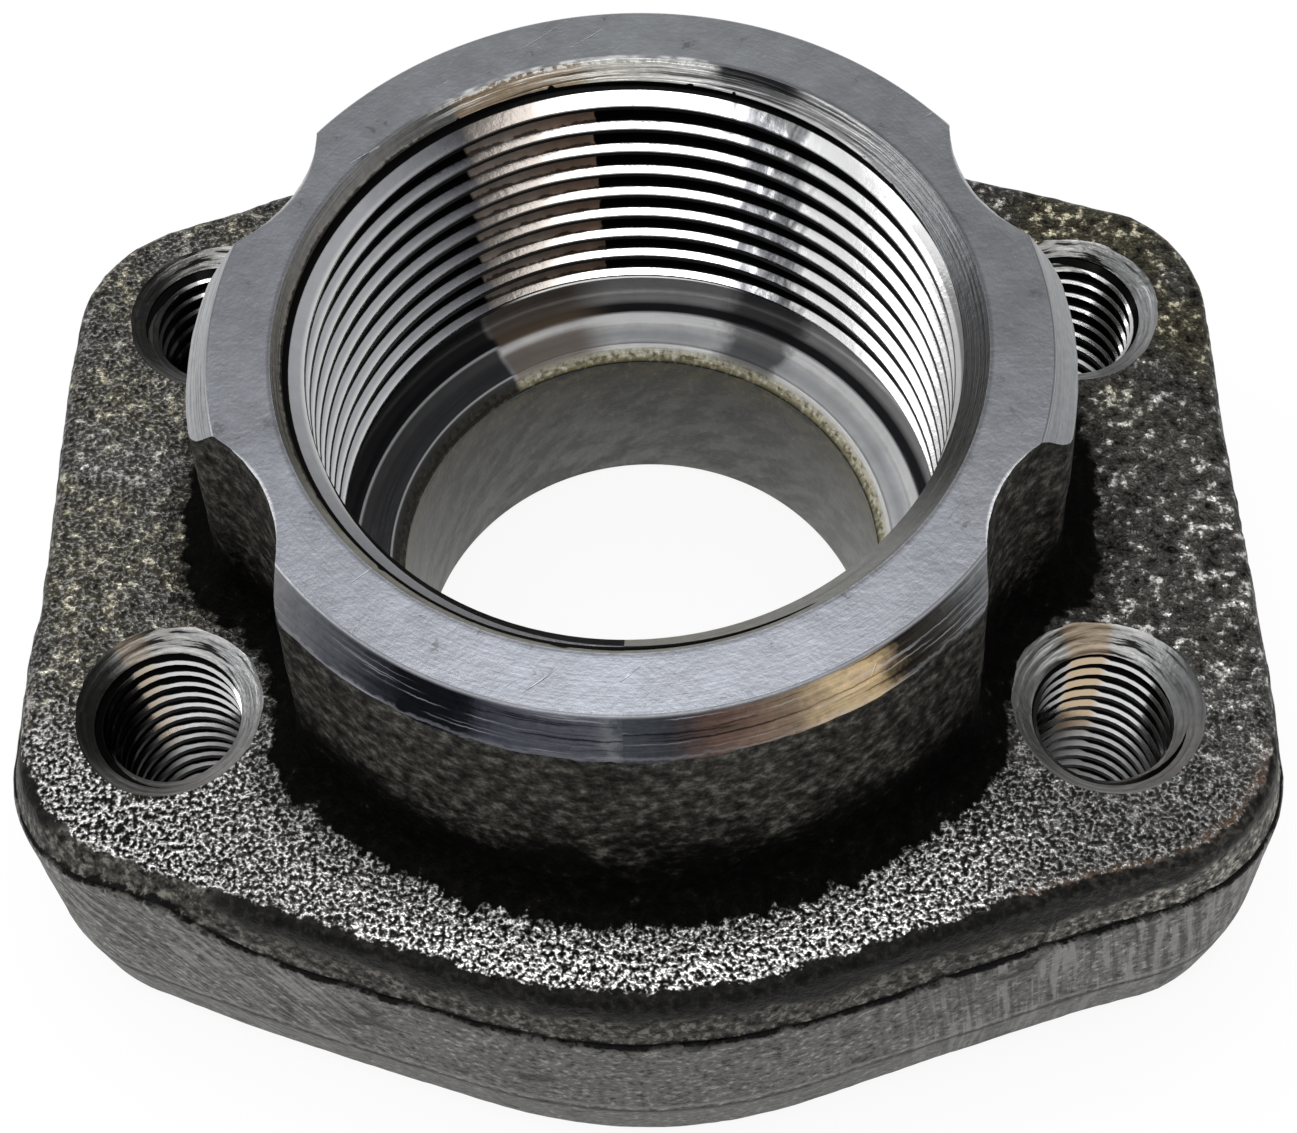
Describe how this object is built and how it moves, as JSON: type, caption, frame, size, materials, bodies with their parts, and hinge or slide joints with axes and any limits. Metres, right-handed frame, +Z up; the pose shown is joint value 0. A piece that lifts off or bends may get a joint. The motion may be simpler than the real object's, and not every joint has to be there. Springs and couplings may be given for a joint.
{
  "type": "threaded flange",
  "caption": "Forged steel hydraulic flange with a threaded pipe bore in a scalloped hub, a bored shoulder below the thread, and a tapped bolt hole at each corner of its plate.",
  "frame": {"origin": "centre of the bore on the flat sealing face", "axes": "+Z up the bore axis towards the hub's end face; +X along the long side of the plate, which is also the wider bolt spacing"},
  "size_m": [0.079, 0.0692, 0.0412],
  "materials": {
    "forged_steel": "dark shot-blasted forged skin on the plate and hub; machined, bright grey end face, chamfer, bores and threads"
  },
  "bodies": {
    "root": {"flange_body": "forged_steel"}
  },
  "joints": []
}
